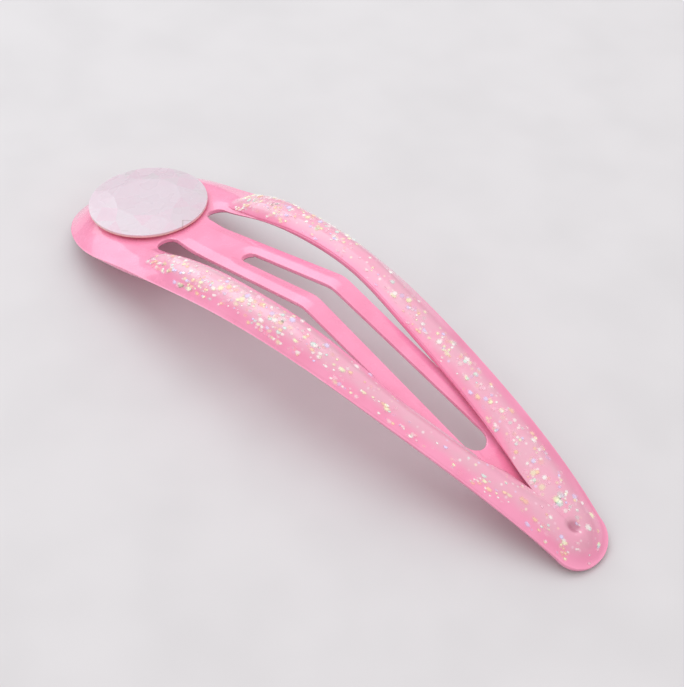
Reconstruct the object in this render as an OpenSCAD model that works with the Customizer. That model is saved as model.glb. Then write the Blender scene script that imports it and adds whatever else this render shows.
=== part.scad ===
// Snap hair clip: one arched steel stamping with a snap tongue, a faceted disc glued
// on its head and a domed glitter coat on its arms.
// Millimetres. X runs from the rounded head to the narrow tip, Z is up, the floor is
// z = 0 and the origin is the middle of the clip on the floor.
// Inside the functions x is measured from the head's rounded end.

/* [Clip] */
// Length over the head and the tip
clip_l = 50; // [44:1:60]
// Thickness of the painted sheet
sheet_t = 0.4; // [0.3:0.05:0.5]
// Height of the arms' lower outer edge at the top of the arch
arch_h = 6.05; // [5:0.01:7]

/* [Head] */
// Widest width of the clip
head_w = 13.12; // [12.6:0.02:15]
// Length of the head's rounded end
head_l = 7.7; // [7:0.1:9]
// Height of the head plate's lower face at the tongue's root
head_h = 4.03; // [3.4:0.01:4.4]
// Slope of the head plate in degrees
head_slope = 8; // [5:0.5:10]
// Width of the band along the rim that curls down
roll_w = 3.6; // [2.5:0.1:4.5]

/* [Opening and tip] */
// Width of the opening between the arms, at the head
opening_w = 6.86; // [6.4:0.02:7.2]
// Distance from the head's end to the opening
opening_x = 11.2; // [10.8:0.1:12.5]
// Length of the opening, to where the arms join
opening_l = 32.7; // [30:0.1:34]
// Width of the tip where its rounded end starts
tip_w = 4.84; // [4:0.02:5.5]
// Length of the tip's rounded end
tip_l = 1.9; // [1.5:0.1:2.5]

/* [Tongue] */
// Width of the tongue at its root
root_w = 3.46; // [3.2:0.02:3.8]
// Width of the tongue past its crease
tongue_w = 4.38; // [4:0.02:4.8]
// Length of the tongue
tongue_l = 34; // [31:0.1:35]
// Distance from the tongue's root to its crease
crease_x = 13.2; // [12:0.1:15]
// Rise of the tongue from its root to its crease
crease_rise = 2.95; // [2.4:0.01:3.2]
// Distance from the tongue's root to its slot
slot_x = 5.4; // [4:0.1:7]
// Length of the slot
slot_l = 23; // [20:0.1:24]
// Width of the slot at its root end
slot_w_root = 1.2; // [0.8:0.02:1.4]
// Width of the slot at its tip end
slot_w_tip = 2.06; // [1.6:0.02:2.3]
// Greatest swing of the tongue in degrees
swing = 18; // [10:1:20]

/* [Disc] */
// Diameter of the disc
disc_d = 9.2; // [8:0.1:10]
// Height of the disc's thin straight rim
disc_rim = 0.22; // [0.16:0.02:0.4]
// Height of the facets above the rim
disc_crown = 0.35; // [0.25:0.05:0.8]
// Width of the flat table across its corners
table_d = 5.2; // [4.4:0.1:6]
// Number of facets round the table
disc_facets = 10; // [8:2:12]
// Distance from the head's end to the middle of the disc
disc_x = 6.1; // [5.8:0.1:6.4]
// Thickness of the glue under the disc
glue_t = 0.15; // [0.1:0.01:0.25]

/* [Glitter coat] */
// Greatest thickness of the coat
coat_t = 0.38; // [0.25:0.01:0.6]
// Thickness of the coat at its edges
coat_edge = 0.06; // [0.04:0.01:0.1]
// Bare metal left beside the coat
coat_margin = 0.2; // [0.08:0.01:0.3]
// Diameter of the dimple pressed into the tip
dimple_d = 1.1; // [0.8:0.05:1.4]
// Depth of the dimple in the coat
dimple_depth = 0.22; // [0.1:0.01:0.3]
// Distance of the dimple behind the tip's rounded end
dimple_back = 0.46; // [0.2:0.02:1]

/* [Clearances] */
// Gap under the coat
seat_gap = 0.05; // [0.03:0.01:0.1]
// Gap between the tongue and what it passes
tongue_gap = 0.08; // [0.06:0.01:0.12]

/* [Hidden] */

paint = [1.0, 0.62, 0.78];
lilac_glass = [0.91, 0.85, 0.89];
glitter_pink = [0.94, 0.68, 0.77];

// Half width of the clip between the head's and the tip's rounded ends.
// along: share of that stretch; wide: 0 at the tip's width, 1 at the head's
W_ALONG = 0;
W_WIDE = 1;
width_rows = [
    [0.00, 0.965],
    [0.15, 1.000],
    [0.30, 0.957],
    [0.45, 0.833],
    [0.60, 0.665],
    [0.75, 0.453],
    [0.90, 0.200],
    [1.00, 0.000],
];

// Half width of the opening.
// along: share of the opening's length; wide: share of its half width
open_rows = [
    [0.00, 1.000],
    [0.20, 1.000],
    [0.40, 0.925],
    [0.55, 0.765],
    [0.70, 0.627],
    [0.85, 0.385],
    [1.00, 0.000],
];

// Height of the sheet's lower face as shares of the arch height.
// along: share of the clip's length; edge: outer edge; crest: middle of an arm;
// inner: inner edge of an arm, then the middle line of the tip
H_EDGE = 1;
H_CREST = 2;
H_INNER = 3;
height_rows = [
    [0.00, 0.000, 0.411, 0.408],
    [0.04, 0.163, 0.456, 0.439],
    [0.10, 0.320, 0.523, 0.492],
    [0.16, 0.472, 0.577, 0.562],
    [0.22, 0.627, 0.690, 0.648],
    [0.28, 0.769, 0.920, 0.837],
    [0.38, 0.947, 1.080, 1.067],
    [0.48, 1.000, 1.134, 1.123],
    [0.58, 0.942, 1.018, 1.013],
    [0.68, 0.811, 0.845, 0.807],
    [0.80, 0.601, 0.628, 0.548],
    [0.88, 0.403, 0.450, 0.359],
    [0.92, 0.277, 0.340, 0.298],
    [0.96, 0.135, 0.188, 0.183],
    [1.00, 0.000, 0.000, 0.000],
];
// Edges lower than this share of the arch lie flat on the floor
FLAT_SHARE = 0.007;
// The head plate is flat up to the first share of the opening's half width, and the
// arms' own height holds from the second
PLATE_SHARE = 0.29;
ARM_SHARE = 0.96;
// Share of the tip's rounded end where its middle line stops short of the edge
MID_SHARE = 0.1;

// Sections of half a clip, counted from the middle of the head's end to the tip
HEAD_N = 10;
ROOT_N = 4;
SIDE_N = 22;
JOIN_N = 20;
TIP_N = 6;
LAST = HEAD_N + SIDE_N + TIP_N;
JOIN = HEAD_N + JOIN_N;
FRAME_COLUMNS = 6;
COAT_COLUMNS = 5;
// Section where the coat starts, and sections over which its front is rounded
COAT_START = HEAD_N;
FRONT_N = 3;
// Share of the front's rounding that its first section already has, in width and depth
FRONT_WIDE = 0.12;
FRONT_DEEP = 0.2;
// Half the sections over which two domes merge into the tip's one
MERGE_N = 3;
// Radius and height of the disc's middle ring, as shares of the rim's and the facets'
RING_SHARE = 0.8;
RING_RISE = 0.62;

side_l = clip_l - head_l - tip_l;
join_x = opening_x + opening_l;
root_half = root_w / 2;
gap_r = (opening_w / 2 - root_half) / 2;
dimple_x = clip_l - tip_l - dimple_back;

function lerp(a, b, t) = a + (b - a) * t;
function unit(t) = min(max(t, 0), 1);
function smooth(t) = let (u = unit(t)) u * u * (3 - 2 * u);

// Smooth curve through one column of a table, by cubic pieces with shared slopes
function piece(rows, x, i = 0) =
    i >= len(rows) - 2 || x < rows[i + 1][0] ? i : piece(rows, x, i + 1);
function slope_at(rows, col, i) =
    let (a = max(i - 1, 0), b = min(i + 1, len(rows) - 1))
    (rows[b][col] - rows[a][col]) / (rows[b][0] - rows[a][0]);
function curve(rows, col, x) =
    let (
        i = piece(rows, x),
        h = rows[i + 1][0] - rows[i][0],
        t = unit((x - rows[i][0]) / h),
        rise = rows[i + 1][col] - rows[i][col],
        start = slope_at(rows, col, i) * h,
        finish = slope_at(rows, col, i + 1) * h
    )
    rows[i][col] + start * t + (3 * rise - 2 * start - finish) * t * t
        + (start + finish - 2 * rise) * t * t * t;

function half_width(u) = lerp(tip_w / 2, head_w / 2, curve(width_rows, W_WIDE, u));
function open_half(u) = opening_w / 2 * curve(open_rows, W_WIDE, u);
function height(col, x) = arch_h * curve(height_rows, col, x / clip_l);
function edge_z(x) = arch_h * max(0, curve(height_rows, H_EDGE, x / clip_l) - FLAT_SHARE);
function plate_z(x) = head_h + tan(head_slope) * (x - opening_x);

// 0 on the head's middle plate, 1 on the arms
function arm_share(p) =
    p.x > opening_x ? 1 :
        smooth((2 * abs(p.y) / opening_w - PLATE_SHARE) / (ARM_SHARE - PLATE_SHARE));
function crest_z(p) = lerp(plate_z(p.x), height(H_CREST, p.x), arm_share(p));

// Point of the outer outline where section r starts
function outer_point(r) =
    r <= HEAD_N ?
        let (a = 90 * r / HEAD_N) [head_l * (1 - cos(a)), half_width(0) * sin(a)] :
    r <= HEAD_N + SIDE_N ?
        let (u = (r - HEAD_N) / SIDE_N) [head_l + u * side_l, half_width(u)] :
        let (a = 90 * (r - HEAD_N - SIDE_N) / TIP_N)
            [clip_l - tip_l + tip_l * sin(a), tip_w / 2 * cos(a)];

// Point of the opening's edge, or of the tip's middle line, where section r ends
function inner_point(r) =
    r <= ROOT_N ? [opening_x, root_half * r / ROOT_N] :
    r <= HEAD_N ?
        let (a = 180 * (r - ROOT_N) / (HEAD_N - ROOT_N))
            [opening_x - gap_r * sin(a), root_half + gap_r * (1 - cos(a))] :
    r <= JOIN ?
        let (u = (r - HEAD_N) / JOIN_N) [opening_x + u * opening_l, open_half(u)] :
        let (u = (r - JOIN) / (LAST - JOIN))
            [lerp(join_x, clip_l - (1 - MID_SHARE) * tip_l, u), 0];

function inner_z(r) =
    let (p = inner_point(r))
    r <= HEAD_N ? lerp(plate_z(p.x), height(H_INNER, p.x), arm_share(p)) :
        height(H_INNER, p.x);

// Height of the sheet's lower face on section r, at share s from its outer edge:
// the crest's height less a parabola down to each edge
function lower_z(r, s) =
    let (
        a = outer_point(r),
        b = inner_point(r),
        p = lerp(a, b, s),
        long = norm(b - a),
        band = min(roll_w, long / 2),
        crest = crest_z(p),
        from_outer = 1 - unit(s * long / band),
        from_inner = 1 - unit((1 - s) * long / band)
    )
    crest - (crest - edge_z(a.x)) * from_outer * from_outer
        - (crest - inner_z(r)) * from_inner * from_inner;

// Point on section r at share s, raised by lift over the sheet's lower face
function sheet_point(r, s, side, lift) =
    let (p = lerp(outer_point(r), inner_point(r), s))
    [p.x, side * p.y, lower_z(r, s) + lift];

// Closed solid between a lower and an upper skin over the sections first to LAST of
// both halves. The halves share the points of the tip's middle line, and those of the
// head's middle section where the solid reaches it.
module double_strip(first, columns, lower, upper) {
    rows = LAST - first + 1;
    cols = columns + 1;
    layer = rows * cols;
    function middle(r, c) = r == LAST - first || r + first == 0
        || (c == columns && r + first >= JOIN);
    function at(half, skin, r, c) =
        ((middle(r, c) ? 0 : half) * 2 + skin) * layer + r * cols + c;
    function quad(half, a, b, c, d) =
        half == 0 ? [[a, b, c], [a, c, d]] : [[a, c, b], [a, d, c]];
    points = concat(lower[0], upper[0], lower[1], upper[1]);
    skins = [
        for (half = [0, 1], r = [0 : rows - 2], c = [0 : columns - 1], skin = [0, 1])
            let (
                a = at(half, skin, r, c),
                b = at(half, skin, r + 1, c),
                d = at(half, skin, r + 1, c + 1),
                e = at(half, skin, r, c + 1)
            )
            each skin == 0 ? quad(half, a, e, d, b) : quad(half, a, b, d, e)
    ];
    walls = [
        for (half = [0, 1], r = [0 : rows - 2], c = [0, columns])
            if (c == 0 || r + first < JOIN)
                let (
                    a = at(half, 0, r, c),
                    b = at(half, 0, r + 1, c),
                    d = at(half, 1, r + 1, c),
                    e = at(half, 1, r, c)
                )
                each c == 0 ? quad(half, a, b, d, e) : quad(half, e, d, b, a)
    ];
    caps = [
        for (half = [0, 1], c = [0 : columns - 1])
            if (first > 0)
                let (
                    a = at(half, 0, 0, c),
                    b = at(half, 0, 0, c + 1),
                    d = at(half, 1, 0, c + 1),
                    e = at(half, 1, 0, c)
                )
                each quad(half, e, d, b, a)
    ];
    polyhedron(points, concat(skins, walls, caps));
}

module place() {
    translate([-clip_l / 2, 0, 0]) children();
}

// Head plate, arms and tip, one arched sheet with a long opening
module frame() {
    function skin(side, lift) = [
        for (r = [0 : LAST], c = [0 : FRAME_COLUMNS])
            sheet_point(r, c / FRAME_COLUMNS, side, lift)
    ];
    color(paint)
        place()
            double_strip(0, FRAME_COLUMNS, [skin(1, 0), skin(-1, 0)],
                [skin(1, sheet_t), skin(-1, sheet_t)]);
}

// Gap at the root, wide enough for the sheet's lower corner to swing past
root_gap = tongue_gap + sheet_t / 2 * sin(swing);
root_x = opening_x + root_gap;
tongue_end = opening_x + tongue_l;
crease_at = opening_x + crease_x;
root_z = head_h + sheet_t;
crease_z = root_z + crease_rise;
// The tongue's end passes under the arms' inner edges where they join
under_z = height(H_INNER, join_x) - tongue_gap;
end_z = crease_z + (under_z - crease_z) * (tongue_end - crease_at) / (join_x - crease_at);

// Side view of the tongue: up to the crease, then down to the end
module tongue_side() {
    polygon([
        [root_x, root_z],
        [crease_at, crease_z],
        [tongue_end, end_z],
        [tongue_end, end_z - sheet_t],
        [crease_at, crease_z - sheet_t],
        [root_x, root_z - sheet_t],
    ]);
}

// Upright block over a strip that widens from one half width to another
module strip_block(x0, half0, x1, half1) {
    linear_extrude(height = 3 * arch_h)
        polygon([[x0, -half0], [x0, half0], [x1, half1], [x1, -half1]]);
}

// Upright round bar at x
module bar(x, r) {
    translate([x, 0, 0]) cylinder(r = r, h = 3 * arch_h, $fn = 64);
}

// Plan of the tongue with its rounded end and its slot, as an upright block
module tongue_plan() {
    end_r = tongue_w / 2;
    slot_from = opening_x + slot_x + slot_w_root / 2;
    slot_to = opening_x + slot_x + slot_l - slot_w_tip / 2;
    difference() {
        union() {
            strip_block(root_x, root_half, crease_at, end_r);
            strip_block(crease_at, end_r, tongue_end - end_r, end_r);
            bar(tongue_end - end_r, end_r);
        }
        strip_block(slot_from, slot_w_root / 2, slot_to, slot_w_tip / 2);
        bar(slot_from, slot_w_root / 2);
        bar(slot_to, slot_w_tip / 2);
    }
}

// Tongue: a creased flat strip of the same sheet, hinged where it leaves the head
module tongue() {
    color(paint)
        place()
            intersection() {
                rotate([90, 0, 0])
                    linear_extrude(height = 2 * tongue_w, center = true) tongue_side();
                tongue_plan();
            }
}

// Ring of points of the disc, at radius r and height z, turned by a share of a facet
function disc_ring(r, z, turn) = [
    for (i = [0 : disc_facets - 1])
        let (a = 360 * (i + turn) / disc_facets) [r * cos(a), r * sin(a), z]
];

// How far the head's crest stands over the plate's plane, at most, round the disc's rim
seat_rise = max([
    for (a = [0 : 10 : 180])
        let (p = [disc_x, 0] + disc_d / 2 * [cos(a), sin(a)])
        crest_z(p) - plate_z(p.x)
]);

// Flat-backed disc with a straight rim, a band of facets and a flat table, glued on the
// highest place that it covers
module cap_disc() {
    rim_r = disc_d / 2;
    table_r = table_d / 2;
    disc_z = plate_z(disc_x) + sheet_t + seat_rise + glue_t;
    color(lilac_glass)
        place()
            translate([disc_x, 0, disc_z])
                rotate([0, -head_slope, 0])
                    hull() {
                        cylinder(r = rim_r, h = disc_rim, $fn = 32);
                        polyhedron(
                            concat(
                                disc_ring(table_r, disc_rim + disc_crown, 0),
                                disc_ring(RING_SHARE * rim_r,
                                    disc_rim + RING_RISE * disc_crown, 0.5)
                            ),
                            [
                                [for (i = [0 : disc_facets - 1]) i],
                                [for (i = [disc_facets - 1 : -1 : 0]) disc_facets + i],
                                for (i = [0 : disc_facets - 1])
                                    let (n = (i + 1) % disc_facets)
                                    each [
                                        [i, disc_facets + i, n],
                                        [n, disc_facets + i, disc_facets + n],
                                    ],
                            ]
                        );
                    }
}

// Share across the arm of coat column c: its edges keep the margin, and its front is
// rounded
function coat_share(r, c) =
    let (
        long = norm(inner_point(r) - outer_point(r)),
        margin = coat_margin / long,
        inner_margin = r >= JOIN ? 0 : margin,
        back = unit((r - COAT_START) / FRONT_N + FRONT_WIDE),
        full = sqrt(1 - (1 - back) * (1 - back)),
        s = lerp(margin, 1 - inner_margin, c / COAT_COLUMNS)
    )
    lerp(0.5, s, full);

// Thickness of the coat: a dome across each arm, and across the whole tip
function coat_depth(r, c) =
    let (
        u = c / COAT_COLUMNS,
        arm = 1 - pow(2 * u - 1, 2),
        tip = 1 - pow(1 - u, 2),
        dome = lerp(arm, tip, smooth((r - JOIN + MERGE_N) / (2 * MERGE_N))),
        taper = unit((r - COAT_START) / FRONT_N + FRONT_DEEP)
    )
    coat_edge + (coat_t - coat_edge) * dome * taper;

// Domed coat on both arms and round the tip, one V-shaped skin over the metal
module glitter_coat() {
    function skin(side, top) = [
        for (r = [COAT_START : LAST], c = [0 : COAT_COLUMNS])
            sheet_point(r, coat_share(r, c), side,
                sheet_t + seat_gap + top * coat_depth(r, c))
    ];
    color(glitter_pink)
        place()
            difference() {
                double_strip(COAT_START, COAT_COLUMNS, [skin(1, 0), skin(-1, 0)],
                    [skin(1, 1), skin(-1, 1)]);
                dimple();
            }
}

// Round pit pressed into the coat over the tip's middle line
module dimple() {
    top = height(H_INNER, dimple_x) + sheet_t + seat_gap + coat_t;
    ball = (dimple_d * dimple_d / 4 + dimple_depth * dimple_depth) / (2 * dimple_depth);
    translate([dimple_x, 0, top + ball - dimple_depth]) sphere(r = ball, $fn = 32);
}

frame();
tongue();
cap_disc();
glitter_coat();
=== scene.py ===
"""Snap hair clip: painted sheet, milky disc and glitter coat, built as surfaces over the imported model."""

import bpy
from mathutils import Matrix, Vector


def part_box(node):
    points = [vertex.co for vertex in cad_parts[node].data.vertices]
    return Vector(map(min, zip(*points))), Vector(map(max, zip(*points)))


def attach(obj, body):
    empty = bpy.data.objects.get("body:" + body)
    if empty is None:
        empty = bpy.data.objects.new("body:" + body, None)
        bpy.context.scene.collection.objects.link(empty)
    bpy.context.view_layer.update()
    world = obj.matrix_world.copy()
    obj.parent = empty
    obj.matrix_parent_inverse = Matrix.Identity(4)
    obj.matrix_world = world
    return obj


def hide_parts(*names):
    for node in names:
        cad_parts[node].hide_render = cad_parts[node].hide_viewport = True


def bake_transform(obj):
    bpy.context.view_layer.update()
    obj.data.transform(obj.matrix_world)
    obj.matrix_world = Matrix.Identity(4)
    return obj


bl_info = {
    "name": "Snap Hair Clip",
    "version": (1, 0, 0),
    "blender": (4, 5, 0),
    "location": "View3D > Sidebar > Clip",
    "description": "Builds the visible surfaces of a snap hair clip over its packed frame",
    "category": "Add Mesh",
}

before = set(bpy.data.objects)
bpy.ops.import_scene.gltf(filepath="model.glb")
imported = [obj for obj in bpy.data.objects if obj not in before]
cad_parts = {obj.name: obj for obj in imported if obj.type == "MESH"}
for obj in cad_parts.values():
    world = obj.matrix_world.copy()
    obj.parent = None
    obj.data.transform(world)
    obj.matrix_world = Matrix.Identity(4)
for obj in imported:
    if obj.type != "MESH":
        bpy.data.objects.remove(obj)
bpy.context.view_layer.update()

from math import cos, sin

import bpy
import numpy as np
from bpy.props import FloatProperty, FloatVectorProperty, IntProperty, PointerProperty
from bpy.types import Operator, Panel, PropertyGroup
from mathutils import Matrix, Vector

CLIP_LOW, CLIP_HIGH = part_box("frame")
CLIP_L = CLIP_HIGH.x - CLIP_LOW.x
HEAD_W = CLIP_HIGH.y - CLIP_LOW.y
MM = 0.001

# Half width of the clip between its two rounded ends: share of that stretch, and 0 at the
# tip's width to 1 at the head's
WIDTH_ALONG = (0.0, 0.15, 0.30, 0.45, 0.60, 0.75, 0.90, 1.0)
WIDTH_SHARE = (0.965, 1.0, 0.957, 0.833, 0.665, 0.453, 0.2, 0.0)
# Half width of the opening: share of its length, and share of its half width
OPEN_ALONG = (0.0, 0.192, 0.385, 0.529, 0.673, 0.8175, 1.0)
OPEN_SHARE = (1.0, 1.0, 0.925, 0.765, 0.627, 0.385, 0.0)
# Height of the sheet's lower face in shares of the arch: share of the clip's length, outer
# edge, middle of an arm, inner edge
HEIGHT_ALONG = (0.0, 0.04, 0.10, 0.16, 0.22, 0.28, 0.38, 0.48, 0.58, 0.68, 0.80, 0.88, 0.92, 0.96,
                1.0)
EDGE_SHARE = (0.0, 0.163, 0.32, 0.472, 0.627, 0.769, 0.947, 1.0, 0.942, 0.811, 0.601, 0.403, 0.277,
              0.135, 0.0)
CREST_SHARE = (0.411, 0.456, 0.523, 0.577, 0.69, 0.92, 1.08, 1.134, 1.018, 0.845, 0.628, 0.45, 0.34,
               0.188, 0.0)
INNER_SHARE = (0.408, 0.439, 0.492, 0.562, 0.648, 0.837, 1.067, 1.123, 1.013, 0.807, 0.548, 0.359,
               0.298, 0.183, 0.0)
# Share of the arch that the outer edge is lowered by, so that both ends lie flat on the floor
FLAT_SHARE = 0.007
# Shares of the opening's half width where the head's plate ends and where the arms' own height begins
PLATE_SHARE, ARM_SHARE = 0.29, 0.96
# Share of the tip's rounded end that the middle line reaches into
MID_SHARE = 0.1

# Sections of half a clip, counted from the middle of the head's end to the tip
HEAD_N, ROOT_N, SIDE_N, JOIN_N, TIP_N = 10, 4, 22, 20, 6
SIDE_END = HEAD_N + SIDE_N
LAST = SIDE_END + TIP_N
JOIN = HEAD_N + JOIN_N
# Sections over which the crest at the head's inner edge goes over to the arm's own
FADE_N = 4
# Sections past the root's corner that would cross each other, and are left out
CORNER_N = 0.85
# Greatest share of the opening's half width that its rounded edge takes up
RIM_SHARE = 0.7

# Where the coat's two edges lie on the far and the near arm: section, and share across the arm
FAR_COAT_AT = (10.15, 10.32, 10.75, 11.32, 11.85, 12.6, 14.0, 18.0, 30.0, 38.0)
FAR_COAT_OUTER = (0.83, 0.77, 0.56, 0.35, 0.14, 0.06, 0.04, 0.04, 0.04, 0.06)
FAR_COAT_INNER = (0.86, 0.90, 0.93, 0.95, 0.97, 0.985, 0.99, 0.99, 1.0, 1.0)
NEAR_COAT_AT = (11.1, 11.3, 11.57, 12.3, 13.0, 13.6, 15.7, 18.3, 22.0, 30.0, 38.0)
NEAR_COAT_OUTER = (0.62, 0.50, 0.34, 0.26, 0.20, 0.13, 0.10, 0.07, 0.07, 0.05, 0.06)
NEAR_COAT_INNER = (0.66, 0.78, 0.84, 0.88, 0.91, 0.94, 0.97, 0.99, 0.99, 1.0, 1.0)
# Limits of the coat's edges across an arm
COAT_FIRST, COAT_LAST = 0.03, 0.975
# How straight the coat's outer slope is, and how round its inner one
FADE_STRAIGHT, RISE_ROUND = 0.25, 0.3
# The coat's lip at its inner edge: share of the bead's width, and of the full thickness
LIP_W, LIP_H = 0.1, 0.15
# Sections over which the two arms' coats become one dome, and that dome's reach in beads
MERGE_N, DOME_BEADS = 3, 3
# The disc's middle ring of corners: share of its radius, and of its facets' height
MIDDLE_R, MIDDLE_H = 0.78, 0.55
# A facet's tint: shares of its random draw, and of a painted pink shade that grows towards the camera's
# side
DRAWN_TINT, NEAR_SHADE = 0.65, 0.35
# The flakes' colours, and where each begins between 0 and 1: cream, lemon, lilac, peach, pink, mint
FLAKE_SHADES = (
    (0.0, (1.0, 0.96, 0.92)),
    (0.34, (0.97, 0.98, 0.66)),
    (0.54, (0.82, 0.74, 1.0)),
    (0.66, (1.0, 0.72, 0.50)),
    (0.80, (1.0, 0.62, 0.74)),
    (0.93, (0.74, 0.95, 0.86)),
)
# Fine marks on the disc, seen from above, in millimetres: two sides of a small notch, and a scratch
NOTCH_LINES = (((-14.87, -0.17), (-14.42, -0.60)), ((-14.87, -0.17), (-14.42, 0.30)))
DISC_SCRATCH = ((-17.46, -4.04), (-17.04, -3.76))
# How many flakes lie along the far and the near arm: section, and share of the densest place
GLITTER_AT = (10.0, 11.5, 14.0, 18.0, 21.0, 26.0, 31.0, 33.0, 38.0)
FAR_GLITTER = (0.0, 0.7, 0.6, 0.3, 0.35, 0.45, 0.5, 0.15, 0.03)
NEAR_GLITTER = (0.0, 1.0, 1.0, 1.0, 0.5, 0.35, 0.35, 0.12, 0.03)
# Flakes across the coat on each arm: share of its width in the middle of the band, and the limits
FAR_BAND = (0.59, 0.30, 0.92)
NEAR_BAND = (0.30, 0.10, 0.92)
# Groups of flakes: sections left clear at both ends, spread across the coat, and its limits
CLEAR_N, GROUP_SPREAD, GROUP_LOW, GROUP_HIGH = 0.6, 0.18, 0.12, 0.88
# Flakes: spread round their group along and across the coat, spread of their sizes, and its limits
FLAKE_ALONG, FLAKE_ACROSS, SIZE_SPREAD, SIZE_LOW, SIZE_HIGH = 0.22, 0.11, 0.35, 0.5, 1.7
# Flakes: how much they tilt, and their height over the resin
FLAKE_TILT, FLAKE_LIFT = 0.04, 0.015 * MM


def length(name, description, default_mm):
    """Length property, its default given in millimetres."""
    return FloatProperty(name=name, description=description, default=default_mm * MM, unit="LENGTH")


def angle(name, description, default_degrees):
    """Angle property, its default given in degrees."""
    return FloatProperty(name=name, description=description, default=np.radians(default_degrees),
                         subtype="ANGLE")


def number(name, description, default):
    """Plain number property."""
    return FloatProperty(name=name, description=description, default=default)


def colour(name, description, default):
    """Colour property."""
    return FloatVectorProperty(name=name, description=description, default=default, subtype="COLOR",
                               size=3, min=0, max=1)


class SheetSizes(PropertyGroup):
    """Sizes of the stamped sheet."""

    thickness: length("Thickness", "Thickness of the painted sheet", 0.4)
    arch: length("Arch", "Height of the arms' lower outer edge at the top of the arch", 6.05)
    head_l: length("Head length", "Length of the head's rounded end", 7.7)
    head_h: length("Head height", "Height of the head plate at the tongue's root", 4.03)
    head_slope: angle("Head slope", "Slope of the head plate", 8.0)
    roll_w: length("Curled band", "Width of the band along the rim that curls down", 3.6)
    opening_w: length("Opening width", "Width of the opening at the head", 6.86)
    opening_x: length("Opening start", "Distance from the head's end to the opening", 11.2)
    opening_l: length("Opening length", "Length of the opening", 34.0)
    lean: length("Lean", "How far the opening's narrow end leans to the near side", 0.33)
    lean_x: length("Lean start", "Distance from the head's end to where the lean begins", 24.0)
    lean_l: length("Lean length", "Length over which the lean grows", 11.0)
    tip_w: length("Tip width", "Width of the tip where its rounded end starts", 4.84)
    tip_l: length("Tip length", "Length of the tip's rounded end", 1.9)
    edge: length("Edge", "How far the rounded cut edge stands out", 0.08)


class TongueSizes(PropertyGroup):
    """Sizes of the snap tongue."""

    root_w: length("Root width", "Width of the tongue at its root", 3.46)
    width: length("Width", "Width of the tongue past its crease", 4.38)
    length: length("Length", "Length of the tongue", 34.0)
    crease_x: length("Crease", "Distance from the root to the crease", 13.2)
    crease_rise: length("Crease rise", "Rise from the root to the crease", 2.95)
    bend_l: length("Bend length", "Length over which the crease bends", 1.3)
    slot_x: length("Slot start", "Distance from the root to the slot", 5.4)
    slot_l: length("Slot length", "Length of the slot", 23.0)
    slot_w_root: length("Slot root width", "Width of the slot at its root end", 1.2)
    slot_w_tip: length("Slot tip width", "Width of the slot at its tip end", 2.06)
    roll_w: length("Roll-over width", "Width of the edge that the punch rolled over", 0.8)
    roll_h: length("Roll-over depth", "How far that edge drops", 0.15)
    pass_x: length("Passing place",
                   "Distance from the head's end to where it dips under the arms", 43.9)
    gap: length("Gap", "Gap under the arms where the tongue passes them", 0.08)
    root_bend: length("Root bend", "Length over which the tongue bends when it swings", 3)


class DiscSizes(PropertyGroup):
    """Sizes of the faceted disc."""

    diameter: length("Diameter", "Diameter of the disc", 9.2)
    rim: length("Rim", "Height of the thin straight rim", 0.22)
    crown: length("Crown", "Height of the facets above the rim", 0.35)
    table: length("Table", "Width of the flat table across its corners", 5.2)
    facets: IntProperty(name="Facets", description="Number of main facets round the table", default=10)
    turn: angle("Turn", "Turn of the facets", 5.0)
    centre: length("Centre", "Distance from the head's end to the disc's middle", 6.1)
    glue: length("Glue", "Height of the disc over the head plate", 0.17)


class CoatSizes(PropertyGroup):
    """Sizes of the glitter coat."""

    thickness: length("Thickness", "Greatest thickness of the coat", 0.38)
    bead: length("Bead", "Width over which the coat rises from its inner edge", 1.15)
    feather: length("Feather", "Width over which the coat fades in from its outer edge", 1.75)
    root: length("Root depth", "How far the coat's underside is set into the paint", 0.03)
    dimple_d: length("Dimple width", "Diameter of the dimple in the tip at its soft rim", 1.485)
    dimple_h: length("Dimple depth", "Depth of the dimple", 0.26)
    dimple_back: length("Dimple place", "Distance of the dimple behind the tip's rounded end", 0.46)
    groups: IntProperty(name="Flake groups", description="Number of groups of glitter flakes on each arm",
                        default=190)
    flake_r: length("Flake size", "Radius of a middling flake", 0.21)


class FinishColours(PropertyGroup):
    """Colours of the clip, and sizes of its surface patterns."""

    paint: colour("Paint", "Colour of the pink paint", (1.0, 0.33, 0.53))
    paint_deep: colour("Deep paint", "Colour of the paint where it lies thicker", (0.93, 0.25, 0.43))
    # Dark line along the cut edges' lower corner: partly a burr, partly painted shade under the edge.
    burr_and_shade: colour("Burr_and_shade",
                 "Colour of the thin dark line along the cut edges' lower corner", (0.22, 0.05, 0.11))
    milk: colour("Disc resin", "Colour of the milky disc", (0.70, 0.605, 0.66))
    # Pink and grey facets also carry painted shade: pinker on the near side, greyer on the far side.
    milk_pink: colour("Disc pink", "Pink tint of some facets", (0.72, 0.555, 0.63))
    milk_grey: colour("Disc grey", "Grey tint of some facets", (0.67, 0.60, 0.635))
    # The rim's warm colour is a painted glow of light through its thin lower edge.
    peach: colour("Disc rim", "Warm colour of the disc's thin rim", (1.0, 0.66, 0.55))
    mark: colour("Mark", "Colour of fine scratches", (0.42, 0.33, 0.33))
    # The tip's dimple is darker in colour.
    darkening: colour("Darkening", "Colour of the dirt in the tip's dimple", (0.52, 0.17, 0.26))
    coat: colour("Coat resin", "Colour of the glitter coat where it is thick", (0.83, 0.38, 0.50))
    coat_pale: colour("Sown resin",
                      "Colour of the coat where the glitter lies thickest", (0.94, 0.62, 0.70))
    floor: colour("Floor", "Colour of the floor", (0.71, 0.695, 0.70))
    mottle: length("Mottling", "Size of the paint's soft mottling", 2.4)
    grain: length("Grain", "Size of the paint's fine grain", 0.3)
    speck: length("Fine glitter", "Distance between the finest specks in the coat", 0.42)


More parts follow.
